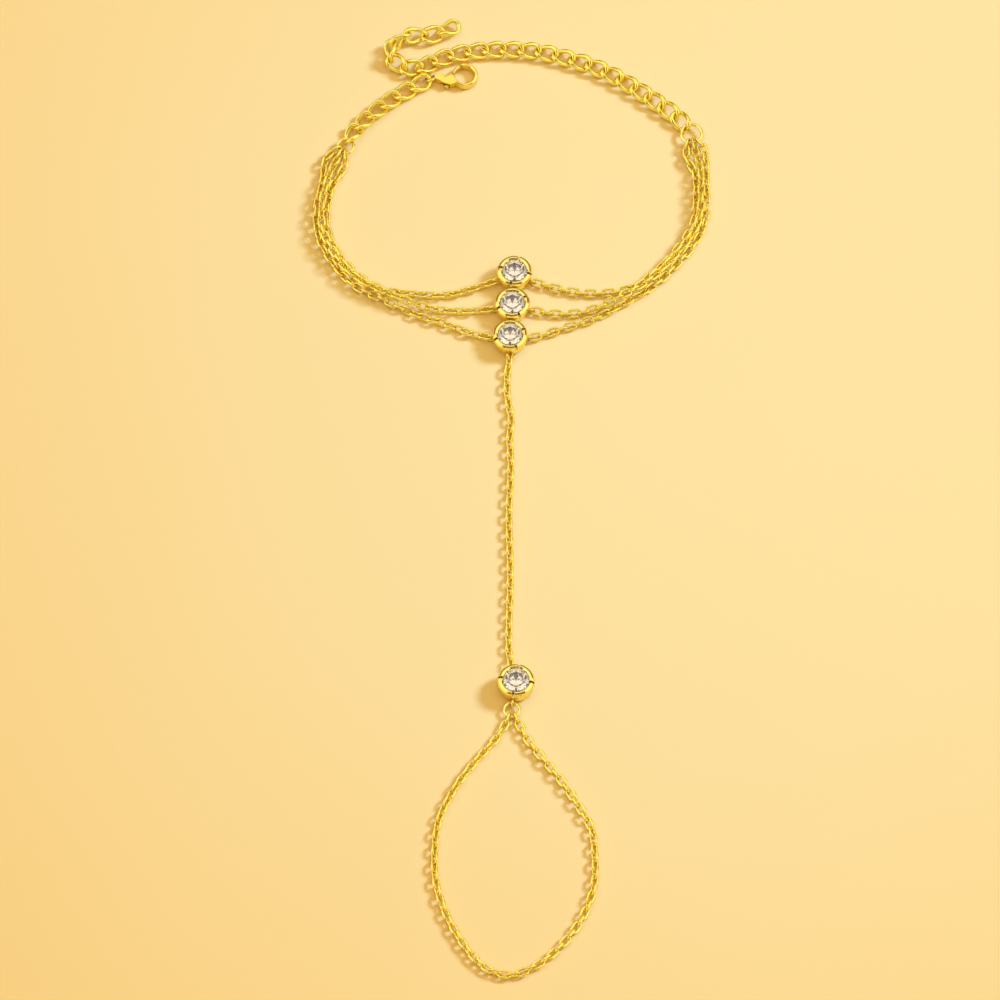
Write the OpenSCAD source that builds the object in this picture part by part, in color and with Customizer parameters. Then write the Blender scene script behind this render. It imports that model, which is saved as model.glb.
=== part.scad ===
// Hand chain bracelet, laid out flat: three strands of cable chain with a column of
// stone cups, a curb chain with a lobster clasp, a curb extender, and a drop chain to
// a fourth cup that carries the finger loop.
// Millimetres, +Z up. The origin is the middle of the lowest wrist cup's back, which
// lies on the surface. +Y runs from the finger loop towards the clasp.

/* [Drop] */
// Distance from the lowest wrist cup to the finger cup
drop_len = 65.3; // [55:0.1:75]

/* [Cable chain] */
// Length over one cable link
cable_len = 2.35; // [2.2:0.05:2.6]
// Width over one cable link
cable_w = 1.45; // [1.35:0.05:1.6]
// Wire of the cable links
cable_wire = 0.33; // [0.26:0.01:0.36]
// Play between two cable links drawn taut
cable_play = 0.13; // [0.1:0.01:0.2]
// Distance between the middles of the two outer strands of a bundle
bundle_spread = 1.72; // [1.6:0.04:2]
// Gap between the middle strand and the two that it lies on
bundle_gap = 0.2; // [0.1:0.02:0.3]
// Gap between the chains and the surface
chain_lift = 0.03; // [0.02:0.01:0.1]

/* [Curb chain] */
// Length over one curb link
curb_len = 4.2; // [4.1:0.05:4.8]
// Width over one curb link
curb_w = 2.9; // [2.7:0.05:3.2]
// Wire of the curb links
curb_wire = 0.5; // [0.44:0.01:0.55]
// Height that the twist lifts and lowers the sides of a curb link
curb_twist = 0.45; // [0.4:0.01:0.6]
// Play between two curb links drawn taut
curb_play = 0.14; // [0.1:0.01:0.2]

/* [Stone cups] */
// Diameter over a wrist cup
wrist_cup_d = 5.9; // [5.6:0.1:6]
// Diameter of a wrist stone
wrist_stone_d = 4.4; // [4:0.1:4.6]
// Diameter over the finger cup
finger_cup_d = 6.2; // [6:0.1:6.8]
// Diameter of the finger stone
finger_stone_d = 4.7; // [4.4:0.1:5]
// Distance between the middles of two wrist cups
cup_pitch = 6.05; // [6:0.05:6.3]
// Turn of the column of wrist cups, clockwise from +Y
column_turn = 3.6; // [0:0.2:8]
// Metal under a stone
cup_floor = 0.15; // [0.15:0.05:0.3]
// Height of a stone's point over the floor of its cup
culet_gap = 0.4; // [0.1:0.05:0.5]
// Height of the rim over the girdle of its stone
rim_over_girdle = 0.4; // [0.35:0.05:0.6]
// Width of the four slits in a rim
slit_w = 0.4; // [0.3:0.05:0.5]
// Depth of the slits, down from the rim
slit_depth = 0.75; // [0.65:0.05:0.9]
// Gap between a stone and its cup
stone_gap = 0.06; // [0.05:0.01:0.1]

/* [Eyelets and rings] */
// Inner radius of an eyelet on a cup
eyelet_in_r = 0.46; // [0.42:0.02:0.6]
// Wire of the eyelets and of the rings between the cups
eyelet_wire = 0.36; // [0.3:0.02:0.45]
// Depth of the solder at the holes of the eyelets and of the rings between the cups
solder = 0.04; // [0.02:0.02:0.08]
// Inner radius of the bail that holds the finger ring
bail_in_r = 0.5; // [0.45:0.05:0.7]
// Inner radius of the left jump ring
left_ring_in_r = 1.1; // [1:0.05:1.4]
// Wire of the left jump ring
left_ring_wire = 0.5; // [0.4:0.05:0.55]
// Inner radius of the right jump ring
right_ring_in_r = 1.45; // [1.3:0.05:1.8]
// Wire of the right jump ring
right_ring_wire = 0.55; // [0.45:0.05:0.6]
// Inner radius of the finger ring
finger_ring_in_r = 1.05; // [1:0.05:1.3]
// Wire of the finger ring
finger_ring_wire = 0.5; // [0.4:0.05:0.55]

/* [Clasp] */
// Radius of the middle of the claw's band
claw_r = 1.9; // [1.85:0.05:2]
// Width of the claw's band, seen from above
claw_w = 0.6; // [0.55:0.05:0.75]
// Thickness of the clasp, which lies flat
clasp_t = 1.5; // [1.5:0.1:1.8]
// Thickness of the lever between the clasp's two cheeks
lever_t = 0.56; // [0.5:0.02:0.7]
// Radius of the hinge pin
pin_r = 0.28; // [0.2:0.02:0.32]
// Running clearance of the lever on its pin and between the cheeks
lever_gap = 0.07; // [0.05:0.01:0.1]

/* [Hidden] */

gold = "gold";
crystal = "whitesmoke";

// Cut of the stones, as shares of the stone's radius
table_share = 0.56;
crown_share = 0.29;
pavilion_share = 0.86;
girdle_t = 0.12;
// A cup's bands, measured inwards from its largest radius and down from its rim
rim_slope_w = 0.5;
rim_slope_h = 0.5;
rim_flat = 0.15;
bezel_h = 1.25;
bezel_step = 0.28;
base_step = 0.6;
lip_cover = 0.12;
lip_t = 0.12;
// First angle of the four slits in the lowest, middle, top and finger cup
slit_turns = [22, 25, -14, -10];

// Routes are chosen points [x, y, lift], where lift is the height of the chain's
// underside above the surface. The chain's ends are added from what holds them.
// The drop's points run down from the lowest wrist cup as shares of the drop's length,
// and those of the finger loop are measured from the finger cup.
drop_points = [[-0.5, 0.107], [-0.4, 0.168], [0.2, 0.23], [-0.1, 0.283], [0.1, 0.368],
    [-0.2, 0.505], [0, 0.674], [-0.2, 0.827], [-0.2, 0.896]];
finger_points = [[-2, -7.7], [-3.5, -10.2], [-6, -13.2], [-9, -17.2], [-11.5, -21.7],
    [-13, -25.7], [-13.5, -30.2], [-13.5, -35.2], [-12.5, -40.2], [-10.5, -45.2],
    [-7.5, -50.2], [-4.5, -53.2], [-1, -54.2], [2, -53.2], [5.5, -50.7], [9, -46.7],
    [11.5, -42.2], [13, -36.7], [13, -30.7], [12.5, -26.7], [10.5, -22.7], [7.5, -17.7],
    [4.5, -13.7], [2, -10.2], [0.7, -7.7]];
left_bundle = [[-21, 8.5, 0], [-24, 10, 0], [-26.5, 12, 0], [-28.5, 14.5, 0],
    [-30.5, 18, 0], [-31.5, 21.5, 0], [-31.5, 25, 0], [-31, 28, 0],
    [-30.5, 29.8, 0]];
right_bundle = [[21.5, 9.5, 0], [24, 11.5, 0], [26, 13.5, 0], [28.5, 16.5, 0],
    [30.5, 19.5, 0], [31.7, 22.5, 0], [32, 26, 0], [32, 29.5, 0],
    [31.9, 31.6, 0]];
strand_1_left_lead = [[-6.5, 9.6, 0], [-9.5, 8.7, 0], [-12.5, 8.4, 0], [-16, 8.7, 0]];
strand_2_left_lead = [[-5, 5.6, 0], [-8.5, 5.4, 0], [-12, 5.7, 0], [-15, 6.3, 0.5],
    [-18, 7.2, 1.2]];
strand_3_left_lead = [[-6.5, 1.2, 0], [-9.5, 2.5, 0], [-12, 3.5, 0], [-15, 4.5, 0]];
strand_1_right_lead = [[7.5, 9.8, 0], [10.5, 9.1, 0], [13.5, 8.8, 0], [17, 9, 0]];
strand_2_right_lead = [[6.8, 5, 0], [10, 4.9, 0], [13, 5.3, 0.3], [16, 6.4, 0.9],
    [19, 7.8, 1.4]];
strand_3_right_lead = [[5.6, 0.9, 0], [8.7, 2.1, 0], [11.6, 3.1, 0], [15, 4.5, 0]];
extender_route = [[28, 42.2, 0], [25.8, 44, 0], [23.5, 45.9, 0], [21, 47.8, 0],
    [18.5, 49.5, 0], [16, 51, 0], [13.2, 52.3, 0], [10.3, 53.3, 0], [7.3, 54.2, 0],
    [4.3, 54.9, 0], [1.3, 55.1, 0], [-1.7, 55.2, 0], [-4.7, 55, 0], [-7.7, 54.6, 0],
    [-10.7, 53.8, 0], [-13, 52.7, 0], [-15.3, 51.4, 0]];
clasp_route = [[-26.3, 39.3, 0], [-24.2, 41.7, 0], [-21.9, 43.9, 0], [-19.3, 46, 0],
    [-17, 47.5, 0], [-14.9, 48.7, 0]];
left_ring_at = [-27.5, 36.6];
right_ring_at = [30.4, 39];
clasp_at = [-7.6, 50.1];
clasp_turn = 4;
finger_cup_at = [1, -drop_len];
// Directions in which the three strands leave a jump ring, strand 1 first
left_fan = [-94, -119, -148];
right_fan = [-105, -80, -55];
fan_reach = 3.8;
// Roll of the curb links that hang in a jump ring
curb_ring_roll = -25;

// Radius and place of what holds the chains
wrist_r = wrist_cup_d / 2;
finger_r = finger_cup_d / 2;
eyelet_out_r = eyelet_in_r + eyelet_wire;
eyelet_z = eyelet_out_r;
finger_ring_r = finger_ring_in_r + finger_ring_wire / 2;
left_ring_r = left_ring_in_r + left_ring_wire / 2;
right_ring_r = right_ring_in_r + right_ring_wire / 2;
cable_r = (cable_w - cable_wire) / 2;
cable_pitch = cable_len - 2 * cable_wire - cable_play;
curb_pitch = curb_len - 2 * curb_wire - curb_play;
strand_h = 2 * rise(45);
strand_apart = bundle_spread / 2;

// Height of a cable chain's middle over its underside, with its links rolled by roll
function rise(roll) = cable_r * max(abs(sin(roll)), abs(cos(roll))) + cable_wire / 2;

// The same for a curb chain
function curb_rise(roll) = curb_wire / 2 + max([for (t = [0 : 15 : 345])
    (curb_w - curb_wire) / 2 * sin(t) * sin(roll) + curb_twist * sin(2 * t) * cos(roll)]);

// Height of a jump ring's plane, which the curb link in it gives, and the lift of the
// strands that end in it
ring_z = curb_rise(curb_ring_roll) + chain_lift;
ring_lift = ring_z - rise(0) - chain_lift;

function unit(v) = v / norm(v);
function place(at, turn, r) = [at[0] + r * cos(turn), at[1] + r * sin(turn)];
function with_z(p, z) = [p[0], p[1], z];

// A smooth curve through the points, with steps pieces between two points
function spline(a, b, c, d, t) = 0.5 * (2 * b + (c - a) * t
    + (2 * a - 5 * b + 4 * c - d) * t * t + (3 * b - a - 3 * c + d) * t * t * t);
function curve(p, steps = 6) = let (n = len(p) - 1) concat(
    [for (i = [0 : n - 1], k = [0 : steps - 1])
        spline(i > 0 ? p[i - 1] : 2 * p[0] - p[1], p[i], p[i + 1],
            i < n - 1 ? p[i + 2] : 2 * p[n] - p[n - 1], k / steps)], [p[n]]);

// Length of the curve up to each of its points
function sums(p) = [for (i = 0, s = 0; i < len(p);
    s = i + 1 < len(p) ? s + norm(p[i + 1] - p[i]) : s, i = i + 1) s];
function last(v) = v[len(v) - 1];
function on_curve(p, far, s) = [for (k = [0 : 2])
    lookup(s, [for (i = [0 : len(p) - 1]) [far[i], p[i][k]]])];

// Links along a route, each as [middle, yaw, pitch, roll]. Lead and tail are the
// distances from the route's ends to the first and last link's middle, roll is given
// the number of links before and after a link, and the steps come in multiples.
function links(route, lead, tail, pitch, roll, multiple) = let (
        p = curve(route), far = sums(p), free = last(far) - lead - tail,
        n = multiple * ceil(free / pitch / multiple), step = free / n)
    [for (i = [0 : n]) let (
            a = on_curve(p, far, lead + (i - 0.5) * step),
            b = on_curve(p, far, lead + (i + 0.5) * step),
            d = unit(b - a))
        [(a + b) / 2, atan2(d[1], d[0]), asin(d[2]), roll(i, n - i)]];

// Distance from the middle of an eyelet or ring to the middle of the cable or curb
// link that hangs in it
function cable_reach(in_r) = in_r - cable_play - cable_wire + cable_len / 2;
function curb_reach(in_r) = in_r - curb_play - curb_wire + curb_len / 2;

// Places of the cups, and of their eyelets at an angle round them
function wrist_at(k) = k * cup_pitch * [sin(column_turn), cos(column_turn)];
function eyelet_at(at, r, turn, in_r = eyelet_in_r) =
    place(at, turn, r - bezel_step - solder + in_r);

// Routes with their ends. A bundle's outer strands lie beside its route, and its
// middle strand lies on top of them.
function beside(p, d, lift) = [for (i = [0 : len(p) - 1]) let (
        h = unit(p[min(i + 1, len(p) - 1)] - p[max(i - 1, 0)]))
    [p[i][0] - d * h[1], p[i][1] + d * h[0], lift]];
function strand(from, lead, bundle, d, lift, ring, fan) = concat(
    [with_z(from, eyelet_z - rise(0) - chain_lift)], lead, beside(bundle, d, lift),
    [with_z(place(ring, fan, fan_reach), ring_lift + 0.33 * lift),
        with_z(ring, ring_lift - 0.16 * lift)]);
eyelet_turns = [[197, -20], [183, -8], [173, 6]];
strand_sides = [-1, 0, 1];
function strand_route(k, left) = let (
        cup = wrist_at(2 - k), turn = eyelet_turns[k][left ? 0 : 1],
        lead = left ? [strand_1_left_lead, strand_2_left_lead, strand_3_left_lead][k]
            : [strand_1_right_lead, strand_2_right_lead, strand_3_right_lead][k],
        side = strand_sides[k] * strand_apart * (left ? 1 : -1))
    strand(eyelet_at(cup, wrist_r, turn), lead, left ? left_bundle : right_bundle,
        side, k == 1 ? strand_h + bundle_gap : 0, left ? left_ring_at : right_ring_at,
        (left ? left_fan : right_fan)[k]);

// Roll of a strand's links: upright at the jump ring, turned by 45 degrees in the bundle
// and nearly flat at the cup, each link square to the one before
strand_roll = function (i, left) 90 * (1 + left % 2)
    - lookup(left, [[0, 14], [1, 32], [2, 40], [4, 45], [i + left - 11, 45],
        [i + left, 75]]);
function strand_links(k, left) = links(strand_route(k, left), cable_reach(eyelet_in_r),
    cable_reach(left ? left_ring_in_r : right_ring_in_r), cable_pitch, strand_roll, 2);

drop_from = eyelet_at([0, 0], wrist_r, -90);
drop_to = eyelet_at(finger_cup_at, finger_r, 104);
drop_lift = eyelet_z - rise(45) - chain_lift;
drop_route = [for (p = drop_points) [p[0], -p[1] * drop_len, 0]];
drop_links = links(concat([with_z(drop_from, drop_lift)], drop_route,
    [with_z(drop_to, drop_lift)]), cable_reach(eyelet_in_r),
    cable_reach(eyelet_in_r), cable_pitch, function (i, left) 45 + 90 * (i % 2), 1);

bail_turn = -100;
bail_at = eyelet_at(finger_cup_at, finger_r, bail_turn, bail_in_r);
finger_ring_at = place(bail_at, bail_turn + 4, finger_ring_r);
finger_ring_z = eyelet_z + bail_in_r - eyelet_in_r;
finger_lift = finger_ring_z - rise(0) - chain_lift;
finger_route = [for (p = finger_points) with_z(finger_cup_at + p, 0)];
finger_links = links(concat([with_z(finger_ring_at, finger_lift)], finger_route,
    [with_z(finger_ring_at, finger_lift)]), cable_reach(finger_ring_in_r),
    cable_reach(finger_ring_in_r), cable_pitch,
    // The links turn slowly round the loop, and stand upright at both ends
    function (i, left) 90 * (1 + i) + 180 * i / (i + left), 2);

// A wire of $fn sides swept round a closed ring of points, with its outward directions
module closed_wire(points, outward, d, sides = 6) {
    n = len(points);
    pts = [for (i = [0 : n - 1]) let (
            along = unit(points[(i + 1) % n] - points[(i + n - 1) % n]),
            out = unit(outward[i] - (outward[i] * along) * along),
            up = cross(along, out))
        for (k = [0 : sides - 1]) points[i]
            + d / 2 * (cos(360 * k / sides) * out + sin(360 * k / sides) * up)];
    polyhedron(pts, [for (i = [0 : n - 1], k = [0 : sides - 1]) let (
            a = i * sides, b = ((i + 1) % n) * sides, m = (k + 1) % sides)
        [a + k, a + m, b + m, b + k]]);
}

// A torus, lying flat round the origin
module ring(in_r, wire) {
    rotate_extrude() translate([in_r + wire / 2, 0]) circle(d = wire);
}

// Puts a link down in its pose, raised by the height of its middle over its underside
module posed(l, up) {
    translate(l[0] + [0, 0, up + chain_lift]) rotate([l[3], -l[2], l[1]]) children();
}

module cable_link() {
    half = (cable_len - cable_w) / 2;
    for (s = [-1, 1]) {
        translate([s * half, 0, 0]) rotate([0, 0, -90 * s]) rotate_extrude(angle = 180)
            translate([cable_r, 0]) circle(d = cable_wire);
        translate([-half, s * cable_r, 0]) rotate([0, 90, 0])
            cylinder(h = 2 * half, d = cable_wire);
    }
}

curb_steps = 16;
module curb_link() {
    a = (curb_len - curb_wire) / 2;
    b = (curb_w - curb_wire) / 2;
    turns = [for (i = [0 : curb_steps - 1]) 360 * i / curb_steps];
    closed_wire([for (t = turns) [a * cos(t), b * sin(t), curb_twist * sin(2 * t)]],
        [for (t = turns) [b * cos(t), a * sin(t), 0]], curb_wire);
}

module cable_chain(list) {
    color(gold) for (l = list) posed(l, rise(l[3])) cable_link();
}

// A strand's plain tube, from its eyelet to its jump ring
tube_sides = 8;
tube_step = 3;
module strand_tube(k, left) {
    p = curve(strand_route(k, left));
    far = sums(p);
    start = eyelet_out_r + cable_play;
    ring_out = left ? left_ring_in_r + left_ring_wire : right_ring_in_r + right_ring_wire;
    whole = last(far) - start - ring_out - cable_play;
    n = ceil(whole / tube_step);
    r = rise(45);
    pts = [for (i = [0 : n]) let (
            s = start + whole * i / n,
            c = on_curve(p, far, s) + [0, 0, r + chain_lift],
            d = unit(on_curve(p, far, s + 0.5) - on_curve(p, far, s - 0.5)),
            side = unit([-d[1], d[0], 0]),
            up = cross(d, side))
        for (m = [0 : tube_sides - 1]) let (t = 360 * (m + 0.5) / tube_sides)
            c + r * (cos(t) * side + sin(t) * up)];
    ends = [[for (m = [0 : tube_sides - 1]) tube_sides - 1 - m],
        [for (m = [0 : tube_sides - 1]) n * tube_sides + m]];
    color(gold) polyhedron(pts, concat(ends, [for (i = [0 : n - 1],
            m = [0 : tube_sides - 1]) let (a = i * tube_sides, b = a + tube_sides,
            q = (m + 1) % tube_sides) [a + m, a + q, b + q, b + m]]));
}

function girdle_z(rs) = cup_floor + culet_gap + rs * pavilion_share;

// A cut stone with its point over the cup's floor: an eight-sided table, star, main and
// girdle facets above, and main and lower girdle facets below
module stone(d) {
    r = d / 2;
    girdle = girdle_z(r);
    function rim(n, share, turn, z) = [for (i = [0 : n - 1])
        [r * share * cos(360 * i / n + turn), r * share * sin(360 * i / n + turn), z]];
    crown = girdle + girdle_t;
    points = concat(
        rim(8, table_share, 0, crown + r * crown_share),
        rim(8, 0.8, 22.5, crown + r * crown_share * 0.56),
        rim(16, 1, 0, crown), rim(16, 1, 0, girdle),
        rim(8, 0.42, 22.5, girdle - r * pavilion_share * 0.62),
        [[0, 0, girdle - r * pavilion_share]]);
    color(crystal) hull() polyhedron(points, [[for (i = [0 : len(points) - 1]) i]]);
}

// A stone cup: a turned bezel with two bands and a sloping rim outside, a seat that
// follows the stone inside, and four slits in its rim
module cup(d, stone_d, turn) {
    r = d / 2;
    rs = stone_d / 2;
    girdle = girdle_z(rs);
    top = girdle + girdle_t + rim_over_girdle;
    bore = rs * 0.86;
    mouth = rs + stone_gap;
    pav_off = stone_gap * norm([1, pavilion_share]);
    crown_slope = crown_share / (1 - table_share);
    lip = rs - lip_cover;
    lip_z = girdle + girdle_t + lip_cover * crown_slope
        + stone_gap * norm([1, crown_slope]);
    difference() {
        rotate_extrude() polygon([
            [0, 0], [r - base_step, 0], [r - bezel_step - 0.08, 0.5],
            [r - bezel_step, 0.6], [r - bezel_step, top - bezel_h - 0.15],
            [r - 0.05, top - bezel_h + 0.1], [r, top - bezel_h + 0.25],
            [r, top - rim_slope_h], [r - rim_slope_w * 0.4, top - rim_slope_h * 0.3],
            [r - rim_slope_w, top], [r - rim_slope_w - rim_flat, top],
            [lip, lip_z + lip_t], [lip, lip_z],
            [mouth, lip_z - lip_cover * crown_slope],
            [mouth, girdle + (mouth - rs) * pavilion_share - pav_off],
            [bore, girdle + (bore - rs) * pavilion_share - pav_off],
            [bore, cup_floor], [0, cup_floor]]);
        for (i = [0 : 3]) rotate([0, 0, turn + 90 * i])
            translate([bore, -slit_w / 2, top - slit_depth]) cube([r, slit_w, top]);
    }
}

// An eyelet soldered to a cup, square to the link that hangs in it
module eyelet(at, r, turn, link_roll, in_r = eyelet_in_r) {
    translate(with_z(eyelet_at(at, r, turn, in_r), eyelet_z + in_r - eyelet_in_r))
        rotate([link_roll + 90, 0, turn]) ring(in_r, eyelet_wire);
}

module wrist_cups() {
    color(gold) {
        for (k = [0 : 2]) translate(with_z(wrist_at(k), 0))
            cup(wrist_cup_d, wrist_stone_d, slit_turns[k]);
        // Flat rings soldered between the cups
        for (k = [0.5, 1.5]) translate(with_z(wrist_at(k), eyelet_z))
            ring(cup_pitch / 2 - wrist_r + bezel_step + solder, eyelet_wire);
        for (k = [0 : 2], side = [0, 1]) let (list = strand_links(k, side == 0))
            eyelet(wrist_at(2 - k), wrist_r, eyelet_turns[k][side], list[0][3]);
        eyelet([0, 0], wrist_r, -90, drop_links[0][3]);
    }
}

module finger_cup() {
    color(gold) {
        translate(with_z(finger_cup_at, 0)) cup(finger_cup_d, finger_stone_d, slit_turns[3]);
        eyelet(finger_cup_at, finger_r, 104, -last(drop_links)[3]);
        eyelet(finger_cup_at, finger_r, bail_turn, 0, bail_in_r);
    }
}

// The curb links stand half on edge in a jump ring, and turn flat over the next links
curb_roll = function (i, left) lookup(i, [[0, curb_ring_roll], [4, 0]]);
// The free end curls back over its last links, which turn on edge: [middle, yaw, roll]
curl = [[[-16.5, 51.5], 185, -20], [[-18.9, 52.3], 142, -35], [[-19.9, 54.6], 92, -60],
    [[-18.3, 56.6], 38, -92], [[-15.8, 57.5], 5, -120], [[-12.9, 57.8], 12, -150],
    [[-10.3, 58.9], 30, -200]];
tail_z = clasp_t / 2;
tail_in_r = 0.6;
tail_wire = 0.4;
tail_x = -5.7;
tail_turn = 20;
shank_x = tail_x + tail_in_r + tail_wire / 4;
tail_at = place(clasp_at, clasp_turn, tail_x);
clasp_links = links(concat([with_z(left_ring_at, 0)], clasp_route,
    [with_z(tail_at, tail_z - curb_rise(0) - chain_lift)]), curb_reach(left_ring_in_r),
    curb_reach(tail_in_r), curb_pitch, curb_roll, 1);
extender_links = concat(links(concat([with_z(right_ring_at, 0)],
    extender_route), curb_reach(right_ring_in_r), curb_pitch / 2, curb_pitch, curb_roll, 1),
    [for (c = curl) [with_z(c[0], 0), c[1], 0, c[2]]]);

module curb_chain(list) {
    color(gold) for (l = list) posed(l, curb_rise(l[3])) curb_link();
}

// The clasp is built round the middle of its claw, with its length along X. The claw
// opens between its tip and the cheeks, where the lever closes it.
claw_from = -150;
claw_to = 114;
pivot = place([0, 0], 197.7, claw_r + 0.72);
cheek_r = 0.85;
lever_end = 107.5;
lever_root = 168;
// The lever's tip and the claw's tip end on arcs round the pivot
lever_reach = norm(place([0, 0], lever_end, claw_r) - pivot);
cheek_gap = lever_t + 2 * lever_gap;

// A piece of the round of the claw, with a rounded top and underside
module clasp_band(from, to, w, t) {
    rotate([0, 0, from]) rotate_extrude(angle = to - from) translate([claw_r, 0])
        polygon([for (s = [0, 180], a = [0 : 30 : 180])
            [w / 2 * cos(s + a), (t - w) / 2 * cos(s) + w / 2 * sin(s + a)]]);
}

module on_clasp() {
    translate(with_z(clasp_at, clasp_t / 2)) rotate([0, 0, clasp_turn]) children();
}

module flat_plate(t) {
    translate([0, 0, -t / 2]) linear_extrude(t) children();
}

module clasp_body() {
    color(gold) on_clasp() {
        difference() {
            union() {
                difference() {
                    clasp_band(claw_from, claw_to, claw_w, clasp_t);
                    intersection() {
                        translate(with_z(pivot, 0)) flat_plate(2 * clasp_t)
                            circle(r = lever_reach + lever_gap);
                        translate([-2 * claw_r, 0, -clasp_t])
                            cube([2 * claw_r, 2 * claw_r, 2 * clasp_t]);
                    }
                }
                flat_plate(clasp_t) polygon([[-1.25, -1.25], [-1.75, -1.6], [-2.5, -1.7],
                    [-3.5, -1.35], [-4.4, -0.75], [shank_x, -0.4], [shank_x, 0.4],
                    [-4.4, 0.5], [-3.8, 0.45], [-3.25, -0.2], [-2.55, -0.75]]);
                translate(with_z(pivot, 0)) flat_plate(clasp_t) circle(r = cheek_r);
            }
            // The gap between the cheeks that the lever and its thumb tab turn in
            translate(with_z(pivot, 0)) flat_plate(cheek_gap) {
                circle(r = cheek_r - 0.1);
                polygon([[-0.9, 0.2], [-0.9, 1.4], [1.8, 1.4], [1.8, -0.15], [0.3, -0.15]]);
                polygon([[0, 0.1], [-0.9, 0.1], [-1.6, -0.05], [-1.6, -1.6], [-0.2, -1.6]]);
            }
        }
        translate(with_z(pivot, 0)) flat_plate(clasp_t) circle(r = pin_r);
        translate([tail_x, 0, 0]) rotate([-40, 0, tail_turn]) ring(tail_in_r, tail_wire);
    }
}

module clasp_lever() {
    color(gold) on_clasp() difference() {
        union() {
            intersection() {
                clasp_band(lever_end - 15, lever_root, claw_w * 0.8, clasp_t * 0.75);
                translate(with_z(pivot, 0)) flat_plate(clasp_t) circle(r = lever_reach);
            }
            translate(with_z(pivot, 0)) flat_plate(lever_t) circle(r = cheek_r - 0.2);
            // The web from the hinge to the root of the band, and the thumb tab
            flat_plate(lever_t) polygon([pivot + [-0.5, 0.2],
                place([0, 0], lever_root - 2.4, claw_r + 0.37),
                place([0, 0], lever_root - 3.1, claw_r - 0.2), pivot + [0.55, 0]]);
            flat_plate(lever_t) polygon([pivot + [-0.5, -0.2], pivot + [-1, -0.9],
                pivot + [-0.7, -1.25], pivot + [-0.4, -1.2], pivot + [0, -0.5]]);
        }
        translate(with_z(pivot, 0)) flat_plate(clasp_t) circle(r = pin_r + lever_gap);
    }
}

module jump_ring(at, z, in_r, wire) {
    color(gold) translate(with_z(at, z)) ring(in_r, wire);
}

module wrist_stone(k) {
    translate(with_z(wrist_at(k), 0)) stone(wrist_stone_d);
}

wrist_cups();
wrist_stone(2);  // stone_top
wrist_stone(1);  // stone_middle
wrist_stone(0);  // stone_bottom
finger_cup();
translate(with_z(finger_cup_at, 0)) stone(finger_stone_d);  // stone_finger
cable_chain(drop_links);  // drop_chain
jump_ring(finger_ring_at, finger_ring_z, finger_ring_in_r, finger_ring_wire);  // finger_ring
cable_chain(finger_links);  // finger_chain
cable_chain(strand_links(0, true));  // strand_1_left
cable_chain(strand_links(0, false));  // strand_1_right
strand_tube(1, true);  // strand_2_left
strand_tube(1, false);  // strand_2_right
strand_tube(2, true);  // strand_3_left
strand_tube(2, false);  // strand_3_right
jump_ring(left_ring_at, ring_z, left_ring_in_r, left_ring_wire);  // left_ring
jump_ring(right_ring_at, ring_z, right_ring_in_r, right_ring_wire);  // right_ring
curb_chain(clasp_links);  // clasp_chain
clasp_body();
clasp_lever();
curb_chain(extender_links);  // extender_chain
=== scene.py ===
"""Looks of the hand chain bracelet: metal, stones, real links, floor, light and camera."""

import math

import bpy
import numpy as np
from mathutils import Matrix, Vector


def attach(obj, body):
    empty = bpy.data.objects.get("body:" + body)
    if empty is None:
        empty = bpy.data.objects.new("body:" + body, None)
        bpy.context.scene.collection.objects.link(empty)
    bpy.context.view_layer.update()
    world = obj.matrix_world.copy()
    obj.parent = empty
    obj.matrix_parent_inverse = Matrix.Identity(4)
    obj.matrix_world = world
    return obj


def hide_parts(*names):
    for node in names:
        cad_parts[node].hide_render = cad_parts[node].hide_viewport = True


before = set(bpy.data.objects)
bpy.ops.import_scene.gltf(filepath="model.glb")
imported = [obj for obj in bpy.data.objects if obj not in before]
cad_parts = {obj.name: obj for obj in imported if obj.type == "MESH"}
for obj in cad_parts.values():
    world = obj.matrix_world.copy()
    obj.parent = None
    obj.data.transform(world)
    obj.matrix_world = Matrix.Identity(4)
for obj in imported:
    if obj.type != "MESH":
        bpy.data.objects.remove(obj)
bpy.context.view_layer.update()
scene = bpy.context.scene
MM = 0.001
PER_MM = 1000

# Sizes as in the source, in mm
CABLE_LEN, CABLE_W, CABLE_WIRE, CABLE_PLAY = 2.35, 1.45, 0.33, 0.13
CURB_LEN, CURB_W, CURB_WIRE, CURB_TWIST, CURB_PLAY = 4.2, 2.9, 0.5, 0.45, 0.14
# The links look a little fuller than the wires that the solids can interlock with
CABLE_LOOK_WIRE, CURB_LOOK_WIRE = 0.41, 0.74
BUNDLE_SPREAD, BUNDLE_GAP, LIFT = 1.72, 0.2, 0.03
CUP_PITCH, COLUMN_TURN, WRIST_R, FINGER_R = 6.05, 3.6, 2.95, 3.1
BEZEL_STEP, SOLDER = 0.28, 0.04
EYELET_IN_R, EYELET_WIRE, BAIL_IN_R = 0.46, 0.36, 0.5
LEFT_RING_IN_R, RIGHT_RING_IN_R = 1.1, 1.45
FINGER_RING_IN_R, FINGER_RING_WIRE = 1.05, 0.5
CLASP_T = 1.5
DROP_LEN = 65.3
# Points of the drop, as (x, share of its length)
DROP_POINTS = [(-0.5, 0.107), (-0.4, 0.168), (0.2, 0.23), (-0.1, 0.283), (0.1, 0.368),
               (-0.2, 0.505), (0, 0.674), (-0.2, 0.827), (-0.2, 0.896)]
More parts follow.
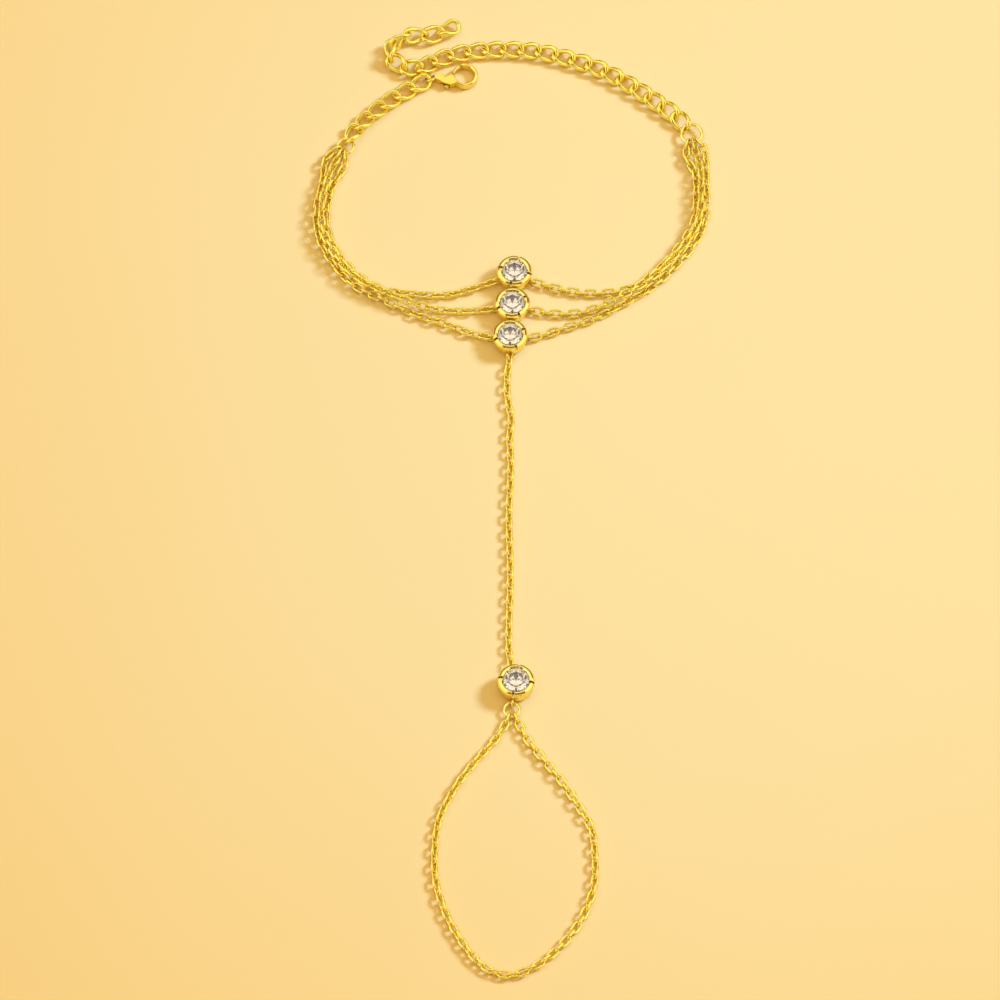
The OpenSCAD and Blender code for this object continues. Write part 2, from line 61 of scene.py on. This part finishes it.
# Points of the finger loop, measured from the finger cup
FINGER_POINTS = [(-2, -7.7), (-3.5, -10.2), (-6, -13.2), (-9, -17.2), (-11.5, -21.7),
                 (-13, -25.7), (-13.5, -30.2), (-13.5, -35.2), (-12.5, -40.2),
                 (-10.5, -45.2), (-7.5, -50.2), (-4.5, -53.2), (-1, -54.2), (2, -53.2),
                 (5.5, -50.7), (9, -46.7), (11.5, -42.2), (13, -36.7), (13, -30.7),
                 (12.5, -26.7), (10.5, -22.7), (7.5, -17.7), (4.5, -13.7), (2, -10.2),
                 (0.7, -7.7)]
BUNDLES = {
    True: [(-21, 8.5), (-24, 10), (-26.5, 12), (-28.5, 14.5), (-30.5, 18), (-31.5, 21.5),
           (-31.5, 25), (-31, 28), (-30.5, 29.8)],
    False: [(21.5, 9.5), (24, 11.5), (26, 13.5), (28.5, 16.5), (30.5, 19.5), (31.7, 22.5),
            (32, 26), (32, 29.5), (31.9, 31.6)],
}
LEADS = {
    (0, True): [(-6.5, 9.6, 0), (-9.5, 8.7, 0), (-12.5, 8.4, 0), (-16, 8.7, 0)],
    (1, True): [(-5, 5.6, 0), (-8.5, 5.4, 0), (-12, 5.7, 0), (-15, 6.3, 0.5), (-18, 7.2, 1.2)],
    (2, True): [(-6.5, 1.2, 0), (-9.5, 2.5, 0), (-12, 3.5, 0), (-15, 4.5, 0)],
    (0, False): [(7.5, 9.8, 0), (10.5, 9.1, 0), (13.5, 8.8, 0), (17, 9, 0)],
    (1, False): [(6.8, 5, 0), (10, 4.9, 0), (13, 5.3, 0.3), (16, 6.4, 0.9), (19, 7.8, 1.4)],
    (2, False): [(5.6, 0.9, 0), (8.7, 2.1, 0), (11.6, 3.1, 0), (15, 4.5, 0)],
}
EXTENDER_ROUTE = [(28, 42.2, 0), (25.8, 44, 0), (23.5, 45.9, 0), (21, 47.8, 0),
                  (18.5, 49.5, 0), (16, 51, 0), (13.2, 52.3, 0), (10.3, 53.3, 0),
                  (7.3, 54.2, 0), (4.3, 54.9, 0), (1.3, 55.1, 0), (-1.7, 55.2, 0),
                  (-4.7, 55, 0), (-7.7, 54.6, 0), (-10.7, 53.8, 0), (-13, 52.7, 0),
                  (-15.3, 51.4, 0)]
CLASP_ROUTE = [(-26.3, 39.3, 0), (-24.2, 41.7, 0), (-21.9, 43.9, 0), (-19.3, 46, 0),
               (-17, 47.5, 0), (-14.9, 48.7, 0)]
CURL = [((-16.5, 51.5), 185, -20), ((-18.9, 52.3), 142, -35), ((-19.9, 54.6), 92, -60),
        ((-18.3, 56.6), 38, -92), ((-15.8, 57.5), 5, -120), ((-12.9, 57.8), 12, -150),
        ((-10.3, 58.9), 30, -200)]
LEFT_RING_AT, RIGHT_RING_AT = (-27.5, 36.6), (30.4, 39.0)
# Directions in which the drop leaves the wrist and meets the finger cup, and the loop hangs
DROP_TURNS = (-90, 104)
BAIL_TURN, FINGER_RING_TURN = -100, -96
CLASP_AT, CLASP_TURN, TAIL_X, TAIL_IN_R = (-7.6, 50.1), 4, -5.7, 0.6
FINGER_CUP_AT = (1.0, -DROP_LEN)
FANS = {True: (-94, -119, -148), False: (-105, -80, -55)}
FAN_REACH, CURB_RING_ROLL, CURB_ROLL_LINKS = 3.8, -25, 4
EYELET_TURNS = [(197, -20), (183, -8), (173, 6)]
# Shares of the middle strand's height over the others that it has at the fan and loses at the ring
FAN_SHARE, RING_SHARE = 0.33, 0.16
# Roll of a strand's links, as (links from the jump ring, degrees), then over its last links
RING_ROLLS = [(0, 14), (1, 32), (2, 40), (4, 45)]
BUNDLE_ROLL, CUP_ROLL, CUP_LINKS = 45, 75, 11
# How far the links of a bundle twist, over how many links, and how each strand lags
TWIST, TWIST_LINKS, TWIST_LAG = 32, 15, 2.1
# Links over which the twist comes in, from the jump ring, and goes out, before the cup
TWIST_IN, TWIST_OUT = (4, 8), (10, 6)


# Places of the links
def cos_d(a):
    return math.cos(math.radians(a))


def sin_d(a):
    return math.sin(math.radians(a))


CABLE_R = (CABLE_W - CABLE_WIRE) / 2
CABLE_PITCH = CABLE_LEN - 2 * CABLE_WIRE - CABLE_PLAY
CURB_PITCH = CURB_LEN - 2 * CURB_WIRE - CURB_PLAY


def rise(roll):
    """Height of a cable link's middle over its underside."""
    return CABLE_R * max(abs(sin_d(roll)), abs(cos_d(roll))) + CABLE_WIRE / 2


def curb_rise(roll):
    """Height of a curb link's middle over its underside."""
    return CURB_WIRE / 2 + max(
        (CURB_W - CURB_WIRE) / 2 * sin_d(t) * sin_d(roll) + CURB_TWIST * sin_d(2 * t) * cos_d(roll)
        for t in range(0, 360, 15))


EYELET_Z = EYELET_IN_R + EYELET_WIRE
STRAND_H = 2 * rise(BUNDLE_ROLL)
STRAND_APART = BUNDLE_SPREAD / 2
RING_Z = curb_rise(CURB_RING_ROLL) + LIFT
RING_LIFT = RING_Z - rise(0) - LIFT
FINGER_RING_R = FINGER_RING_IN_R + FINGER_RING_WIRE / 2


def place(at, turn, r):
    return (at[0] + r * cos_d(turn), at[1] + r * sin_d(turn))


def with_z(p, z):
    return (p[0], p[1], z)


def curve(points, steps=6):
    """A smooth curve through the points."""
    p = np.array(points, float)
    n = len(p) - 1
    out = []
    for i in range(n):
        a = p[i - 1] if i > 0 else 2 * p[0] - p[1]
        b, c = p[i], p[i + 1]
        d = p[i + 2] if i < n - 1 else 2 * p[n] - p[n - 1]
        for k in range(steps):
            t = k / steps
            out.append(0.5 * (2 * b + (c - a) * t + (2 * a - 5 * b + 4 * c - d) * t * t
                              + (3 * b - a - 3 * c + d) * t ** 3))
    out.append(p[n])
    return np.array(out)


def links(route, lead, tail, pitch, roll, multiple):
    """Links along a route, each as (middle, yaw, pitch, roll)."""
    p = curve(route)
    far = np.concatenate([[0], np.cumsum(np.linalg.norm(np.diff(p, axis=0), axis=1))])

    def at(s):
        return np.array([np.interp(s, far, p[:, k]) for k in range(3)])

    free = far[-1] - lead - tail
    n = multiple * math.ceil(free / pitch / multiple)
    step = free / n
    found = []
    for i in range(n + 1):
        a, b = at(lead + (i - 0.5) * step), at(lead + (i + 0.5) * step)
        d = (b - a) / np.linalg.norm(b - a)
        found.append(((a + b) / 2, math.degrees(math.atan2(d[1], d[0])),
                      math.degrees(math.asin(d[2])), roll(i, n - i)))
    return found


def cable_reach(in_r):
    return in_r - CABLE_PLAY - CABLE_WIRE + CABLE_LEN / 2


def curb_reach(in_r):
    return in_r - CURB_PLAY - CURB_WIRE + CURB_LEN / 2


def wrist_at(k):
    return (k * CUP_PITCH * sin_d(COLUMN_TURN), k * CUP_PITCH * cos_d(COLUMN_TURN))


def eyelet_at(at, r, turn, in_r=EYELET_IN_R):
    return place(at, turn, r - BEZEL_STEP - SOLDER + in_r)


def strand_links(k, left):
    """The cable links of one strand, from its cup to its jump ring."""
    start = eyelet_at(wrist_at(2 - k), WRIST_R, EYELET_TURNS[k][0 if left else 1])
    side = (-1, 0, 1)[k] * STRAND_APART * (1 if left else -1)
    lift = STRAND_H + BUNDLE_GAP if k == 1 else 0
    ring = LEFT_RING_AT if left else RIGHT_RING_AT
    bundle = np.array(BUNDLES[left], float)
    beside = []
    for i in range(len(bundle)):
        h = bundle[min(i + 1, len(bundle) - 1)] - bundle[max(i - 1, 0)]
        h = h / np.linalg.norm(h)
        beside.append((bundle[i][0] - side * h[1], bundle[i][1] + side * h[0], lift))
    route = ([with_z(start, EYELET_Z - rise(0) - LIFT)] + LEADS[k, left] + beside
             + [with_z(place(ring, FANS[left][k], FAN_REACH), RING_LIFT + FAN_SHARE * lift),
                with_z(ring, RING_LIFT - RING_SHARE * lift)])

    def roll(i, left_over):
        n = i + left_over
        at, rolls = zip(*RING_ROLLS)
        lie = np.interp(left_over, [*at, n - CUP_LINKS, n], [*rolls, BUNDLE_ROLL, CUP_ROLL])
        # The links of the bundle twist to and fro, each strand by itself
        sway = np.interp(left_over, [*TWIST_IN, *(n - back for back in TWIST_OUT)],
                         [0, TWIST, TWIST, 0])
        turn = math.sin(2 * math.pi * left_over / TWIST_LINKS + TWIST_LAG * k + left)
        return 90 * (1 + left_over % 2) - float(lie) + float(sway) * turn

    return links(route, cable_reach(EYELET_IN_R),
                 cable_reach(LEFT_RING_IN_R if left else RIGHT_RING_IN_R), CABLE_PITCH, roll, 2)


def drop_links():
    lift = EYELET_Z - rise(45) - LIFT
    start = eyelet_at((0, 0), WRIST_R, DROP_TURNS[0])
    end = eyelet_at(FINGER_CUP_AT, FINGER_R, DROP_TURNS[1])
    route = [(x, -share * DROP_LEN, 0) for x, share in DROP_POINTS]
    return links([with_z(start, lift)] + route + [with_z(end, lift)],
                 cable_reach(EYELET_IN_R), cable_reach(EYELET_IN_R), CABLE_PITCH,
                 lambda i, left: 45 + 90 * (i % 2), 1)


def finger_links():
    bail = eyelet_at(FINGER_CUP_AT, FINGER_R, BAIL_TURN, BAIL_IN_R)
    ring = place(bail, FINGER_RING_TURN, FINGER_RING_R)
    lift = EYELET_Z + BAIL_IN_R - EYELET_IN_R - rise(0) - LIFT
    reach = cable_reach(FINGER_RING_IN_R)
    route = [(FINGER_CUP_AT[0] + x, FINGER_CUP_AT[1] + y, 0) for x, y in FINGER_POINTS]
    return links([with_z(ring, lift)] + route + [with_z(ring, lift)], reach, reach,
                 CABLE_PITCH, lambda i, left: 90 * (1 + i) + 180 * i / (i + left), 2)


def curb_roll(i, left):
    return float(np.interp(i, [0, CURB_ROLL_LINKS], [CURB_RING_ROLL, 0]))


def clasp_links():
    tail = place(CLASP_AT, CLASP_TURN, TAIL_X)
    return links([with_z(LEFT_RING_AT, 0)] + CLASP_ROUTE
                 + [with_z(tail, CLASP_T / 2 - curb_rise(0) - LIFT)],
                 curb_reach(LEFT_RING_IN_R), curb_reach(TAIL_IN_R), CURB_PITCH, curb_roll, 1)


def extender_links():
    run = links([with_z(RIGHT_RING_AT, 0)] + EXTENDER_ROUTE, curb_reach(RIGHT_RING_IN_R),
                CURB_PITCH / 2, CURB_PITCH, curb_roll, 1)
    return run + [(np.array(with_z(at, 0), float), yaw, 0.0, roll) for at, yaw, roll in CURL]


# Materials
def new_material(name):
    m = bpy.data.materials.new(name)
    m.use_nodes = True
    t = m.node_tree
    return m, t, t.nodes["Principled BSDF"]


def link_nodes(t, pairs):
    for a, b in pairs:
        t.links.new(a, b)


def noise(t, scale, detail=3.0, rough=0.5):
    """A noise texture in object space, with scale as bumps per millimetre."""
    coord = t.nodes.new("ShaderNodeTexCoord")
    n = t.nodes.new("ShaderNodeTexNoise")
    n.inputs["Scale"].default_value = scale * PER_MM
    n.inputs["Detail"].default_value = detail
    n.inputs["Roughness"].default_value = rough
    t.links.new(coord.outputs["Object"], n.inputs["Vector"])
    return n.outputs["Fac"]


def ramp(t, fac, stops):
    """A colour ramp over fac. Stops are (position, (r, g, b)) or (position, value)."""
    r = t.nodes.new("ShaderNodeValToRGB")
    els = r.color_ramp.elements
    while len(els) < len(stops):
        els.new(0.5)
    for e, (pos, col) in zip(els, stops):
        e.position = pos
        col = (col,) * 3 if isinstance(col, (int, float)) else col
        e.color = (*col, 1)
    t.links.new(fac, r.inputs["Fac"])
    return r.outputs["Color"]


def rounded(t, edge):
    """A normal with which sharp edges look rounded by that radius in mm."""
    bevel = t.nodes.new("ShaderNodeBevel")
    bevel.samples = 6
    bevel.inputs["Radius"].default_value = edge * MM
    return bevel.outputs["Normal"]


def bump(t, height, strength, distance, normal=None):
    """A bumped normal, distance mm high, on top of another one where given."""
    b = t.nodes.new("ShaderNodeBump")
    if normal:
        t.links.new(normal, b.inputs["Normal"])
    b.inputs["Strength"].default_value = strength
    b.inputs["Distance"].default_value = distance * MM
    t.links.new(height, b.inputs["Height"])
    return b.outputs["Normal"]


def painted_crevice_shade(t, colour, shade_colour, reach):
    """The colour, with painted shade: darkened towards the shade colour where other surfaces stand
    closer than reach, in mm.
    """
    ao = t.nodes.new("ShaderNodeAmbientOcclusion")
    ao.samples = 8
    ao.inputs["Distance"].default_value = reach * MM
    mix = t.nodes.new("ShaderNodeMix")
    mix.data_type, mix.blend_type = "RGBA", "MULTIPLY"
    mix.inputs["Factor"].default_value = 1.0
    link_nodes(t, [
        (colour, mix.inputs["A"]),
        (ramp(t, ao.outputs["AO"], [(0.25, shade_colour), (0.75, 1.0)]), mix.inputs["B"]),
    ])
    return mix.outputs["Result"]


def gold_material(name, light, dark, rough_lo, rough_hi, grain, shade_colour, edge=0.0, swell=0.0):
    """Plated metal: slightly uneven plating, fine polishing grain, and painted shade in crevices
    and gaps.

    With edge, in mm, sharp edges look rounded. With swell, in mm, flat faces are a little
    uneven, as cast and tumbled metal is.
    """
    m, t, bsdf = new_material(name)
    bsdf.inputs["Metallic"].default_value = 1.0
    patch = noise(t, 0.35, 4.0, 0.6)
    fine = noise(t, 6.0, 3.0, 0.55)
    normal = rounded(t, edge) if edge else None
    if swell:
        normal = bump(t, noise(t, 0.55, 0.5), 1.0, swell, normal)
    # Painted shade: the base colour darkens where other surfaces stand within 0.8 mm
    link_nodes(t, [
        (painted_crevice_shade(t, ramp(t, patch, [(0.35, dark), (0.65, light)]), shade_colour, 0.8),
         bsdf.inputs["Base Color"]),
        (ramp(t, fine, [(0.3, rough_lo), (0.75, rough_hi)]), bsdf.inputs["Roughness"]),
        (bump(t, fine, grain, 0.04, normal), bsdf.inputs["Normal"]),
    ])
    return m


# What the cups, the rings and the clasp have alike
# Each finish's shade colour is painted shade, laid in its crevices and between its parts
POLISH = dict(rough_lo=0.06, rough_hi=0.15, grain=0.12, shade_colour=(0.5, 0.36, 0.22), edge=0.14)
gold_chain = gold_material("gold_chain", (1.0, 0.84, 0.17), (0.98, 0.78, 0.12),
                           rough_lo=0.12, rough_hi=0.25, grain=0.3, shade_colour=(0.9, 0.76, 0.54))
gold_polished = gold_material("gold_polished", (1.0, 0.81, 0.22), (0.97, 0.75, 0.16),
                              swell=0.12, **POLISH)
gold_cast = gold_material("gold_cast", (1.0, 0.79, 0.17), (0.94, 0.68, 0.1),
                          swell=0.5, **POLISH)


def crystal_material():
    m, t, bsdf = new_material("crystal")
    bsdf.inputs["Transmission Weight"].default_value = 1.0
    bsdf.inputs["IOR"].default_value = 2.15
    cloud = noise(t, 0.8, 2.0)
    speck = noise(t, 9.0, 2.0)
    link_nodes(t, [
        (ramp(t, cloud, [(0.3, (0.93, 0.81, 0.6)), (0.7, (0.98, 0.88, 0.7))]),
         bsdf.inputs["Base Color"]),
        (ramp(t, speck, [(0.4, 0.0), (0.8, 0.03)]), bsdf.inputs["Roughness"]),
        (bump(t, speck, 0.05, 0.02), bsdf.inputs["Normal"]),
    ])
    return m


crystal = crystal_material()


# Chains of real links
def swept_ring(points, outward, d, sides):
    """Vertices and faces of a wire swept round a closed ring of points."""
    n = len(points)
    along = np.roll(points, -1, 0) - np.roll(points, 1, 0)
    along /= np.linalg.norm(along, axis=1)[:, None]
    out = outward - (outward * along).sum(1)[:, None] * along
    out /= np.linalg.norm(out, axis=1)[:, None]
    up = np.cross(along, out)
    a = 2 * np.pi * np.arange(sides) / sides
    verts = (points[:, None] + d / 2 * (np.cos(a)[None, :, None] * out[:, None]
                                        + np.sin(a)[None, :, None] * up[:, None]))
    i, k = np.meshgrid(np.arange(n), np.arange(sides), indexing="ij")
    i2, k2 = (i + 1) % n, (k + 1) % sides
    faces = np.stack([i * sides + k, i * sides + k2, i2 * sides + k2, i2 * sides + k], -1)
    return verts.reshape(-1, 3), faces.reshape(-1, 4)


def cable_link_mesh(arc=10, sides=10):
    half = (CABLE_LEN - CABLE_W) / 2
    points, outward = [], []
    for s in (1, -1):
        for j in range(arc + 1):
            t = math.radians(-90 * s + 180 * j / arc)
            n = (math.cos(t), math.sin(t), 0.0)
            points.append((s * half + CABLE_R * n[0], CABLE_R * n[1], 0.0))
            outward.append(n)
        points.append((0.0, s * CABLE_R, 0.0))
        outward.append((0.0, float(s), 0.0))
    return swept_ring(np.array(points), np.array(outward), CABLE_LOOK_WIRE, sides)


def curb_link_mesh(steps=48, sides=12):
    t = 2 * np.pi * np.arange(steps) / steps
    a, b = (CURB_LEN - CURB_WIRE) / 2, (CURB_W - CURB_WIRE) / 2
    points = np.stack([a * np.cos(t), b * np.sin(t), CURB_TWIST * np.sin(2 * t)], -1)
    outward = np.stack([b * np.cos(t), a * np.sin(t), 0 * t], -1)
    return swept_ring(points, outward, CURB_LOOK_WIRE, sides)


def turned(roll, pitch, yaw):
    """OpenSCAD's rotate([roll, -pitch, yaw])."""
    cr, sr, cp, sp, cy, sy = (cos_d(roll), sin_d(roll), cos_d(-pitch), sin_d(-pitch),
                              cos_d(yaw), sin_d(yaw))
    rx = np.array([[1, 0, 0], [0, cr, -sr], [0, sr, cr]])
    ry = np.array([[cp, 0, sp], [0, 1, 0], [-sp, 0, cp]])
    rz = np.array([[cy, -sy, 0], [sy, cy, 0], [0, 0, 1]])
    return rz @ ry @ rx


def mesh_piece(name, verts, faces, material, body):
    """A smooth mesh as a piece that rides on a body. Its vertices are in mm."""
    mesh = bpy.data.meshes.new(name)
    mesh.from_pydata((np.asarray(verts) * MM).tolist(), [], np.asarray(faces).tolist())
    mesh.polygons.foreach_set("use_smooth", [True] * len(mesh.polygons))
    mesh.materials.append(material)
    mesh.update()
    obj = bpy.data.objects.new(name, mesh)
    scene.collection.objects.link(obj)
    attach(obj, body)
    return obj


def chain_piece(name, node, found, link_mesh, height, fuller):
    """One chain: a copy of the link for each place, raised by what its wire is fuller."""
    v, f = link_mesh
    verts, faces = [], []
    for i, (middle, yaw, pitch, roll) in enumerate(found):
        at = middle + np.array([0, 0, height(roll) + LIFT + fuller / 2])
        verts.append(v @ turned(roll, pitch, yaw).T + at)
        faces.append(f + i * len(v))
    piece = mesh_piece(name, np.concatenate(verts), np.concatenate(faces), gold_chain,
                       "bracelet")
    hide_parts(node)


cable = (cable_link_mesh(), rise, CABLE_LOOK_WIRE - CABLE_WIRE)
curb = (curb_link_mesh(), curb_rise, CURB_LOOK_WIRE - CURB_WIRE)
for k in range(3):
    for left in (True, False):
        side = "left" if left else "right"
        chain_piece(f"strand_{k + 1}_{side}_links", f"strand_{k + 1}_{side}",
                    strand_links(k, left), *cable)
chain_piece("drop_chain_links", "drop_chain", drop_links(), *cable)
chain_piece("finger_chain_links", "finger_chain", finger_links(), *cable)
chain_piece("clasp_chain_links", "clasp_chain", clasp_links(), *curb)
chain_piece("extender_chain_links", "extender_chain", extender_links(), *curb)

# Finishes of the CAD nodes. Cut stones keep their flat facets, and metal is smooth up to its edges
FINISHES = {"stone": crystal, "clasp": gold_cast}
SHARP_ANGLE = math.radians(50)
for name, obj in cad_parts.items():
    kind = name.split("_")[0]
    mesh, metal = obj.data, kind != "stone"
    mesh.materials.clear()
    mesh.materials.append(FINISHES.get(kind, gold_polished))
    mesh.polygons.foreach_set("use_smooth", [metal] * len(mesh.polygons))
    if metal:
        mesh.set_sharp_from_angle(angle=SHARP_ANGLE)

# Floor, light and camera
MIDDLE = Vector((-0.00167, -0.0299, 0))
FLOOR_HALF = 4

floor_mesh = bpy.data.meshes.new("floor")
floor_mesh.from_pydata([(x * FLOOR_HALF, y * FLOOR_HALF, 0)
                        for x, y in ((-1, -1), (1, -1), (1, 1), (-1, 1))], [], [(0, 1, 2, 3)])
floor = bpy.data.objects.new("floor", floor_mesh)
scene.collection.objects.link(floor)


def floor_look():
    """Matt paper with a painted pool of light, paler round a place at the upper right, with faint
    clouds.
    """
    m, t, bsdf = new_material("floor")
    bsdf.inputs["Roughness"].default_value = 0.9
    bsdf.inputs["Specular IOR Level"].default_value = 0.15
    coord = t.nodes.new("ShaderNodeTexCoord")
    mapping = t.nodes.new("ShaderNodeMapping")
    mapping.inputs["Location"].default_value = (-0.18, -0.02, 0)
    mapping.inputs["Scale"].default_value = (6.0, 5.0, 0)
    # Painted pool of light: a round gradient that pales the paper towards the upper right
    light_pool = t.nodes.new("ShaderNodeTexGradient")
    light_pool.gradient_type = "SPHERICAL"
    clouds = t.nodes.new("ShaderNodeMath")
    clouds.operation = "MULTIPLY_ADD"
    clouds.inputs[1].default_value = 0.15
    paper = [(0.07, (0.95, 0.67, 0.18)), (0.65, (0.95, 0.76, 0.265)), (1.0, (0.95, 0.78, 0.28))]
    link_nodes(t, [
        (coord.outputs["Object"], mapping.inputs["Vector"]),
        (mapping.outputs["Vector"], light_pool.inputs["Vector"]),
        (noise(t, 0.012, 2.0), clouds.inputs[0]),
        (light_pool.outputs["Fac"], clouds.inputs[2]),
        (ramp(t, clouds.outputs["Value"], paper), bsdf.inputs["Base Color"]),
        (bump(t, noise(t, 3.0, 3.0), 0.05, 0.02), bsdf.inputs["Normal"]),
    ])
    return m


floor_mesh.materials.append(floor_look())


def area_light(name, direction, size, power, colour, on_metal):
    """A round soft light. It lights either the paper or the metal and the stones."""
    data = bpy.data.lights.new(name, "AREA")
    data.shape = "DISK"
    data.size = size
    data.energy = power
    data.color = colour
    obj = bpy.data.objects.new(name, data)
    d = Vector(direction).normalized()
    obj.location = MIDDLE + d * LIGHT_FAR
    obj.rotation_mode = "QUATERNION"
    obj.rotation_quaternion = d.to_track_quat("Z", "Y")
    obj.visible_camera = False
    obj.visible_diffuse = not on_metal
    obj.visible_glossy = obj.visible_transmission = on_metal
    scene.collection.objects.link(obj)


LIGHT_FAR = 2.0
FROM_KEY = (0.74, 0.32, 0.60)
NEUTRAL, COOL, WARM = (1.0, 0.98, 0.95), (0.33, 0.474, 1.0), (1.0, 0.736, 0.509)
for light in (
    ("key_on_paper", FROM_KEY, 0.5, 58, COOL, False),
    ("fill_on_paper", (0, 0, 1), 4.0, 39.2, WARM, False),
    ("key", FROM_KEY, 0.5, 7, NEUTRAL, True),
    ("softbox_back", (0.0, 0.55, 0.83), 3.2, 24, NEUTRAL, True),
    ("softbox_right", (0.85, -0.1, 0.52), 2.5, 18, NEUTRAL, True),
    ("softbox_left", (-0.85, -0.1, 0.52), 2.5, 18, NEUTRAL, True),
    ("softbox_front", (0.0, -0.93, 0.36), 2.4, 9, NEUTRAL, True),
):
    area_light(*light)

world = bpy.data.worlds.new("studio")
world.use_nodes = True
scene.world = world
background = world.node_tree.nodes["Background"]
background.inputs["Color"].default_value = (0.25, 0.19, 0.13, 1)
background.inputs["Strength"].default_value = 1.0

# The camera's distance, the width that it sees there and its height over the floor, in degrees
CAMERA_FAR, SEEN_WIDTH, ELEVATION = 7.0, 0.1667, 62
SENSOR = 36
camera_data = bpy.data.cameras.new("camera")
camera_data.sensor_width = SENSOR
camera_data.lens = SENSOR * CAMERA_FAR / SEEN_WIDTH
camera_data.clip_start, camera_data.clip_end = 0.5, 50
camera = bpy.data.objects.new("camera", camera_data)
back = Vector((0, -cos_d(ELEVATION), sin_d(ELEVATION)))
camera.location = MIDDLE + back * CAMERA_FAR
camera.rotation_mode = "QUATERNION"
camera.rotation_quaternion = back.to_track_quat("Z", "Y")
scene.collection.objects.link(camera)
scene.camera = camera
scene.view_settings.view_transform = "Standard"

bpy.context.view_layer.update()
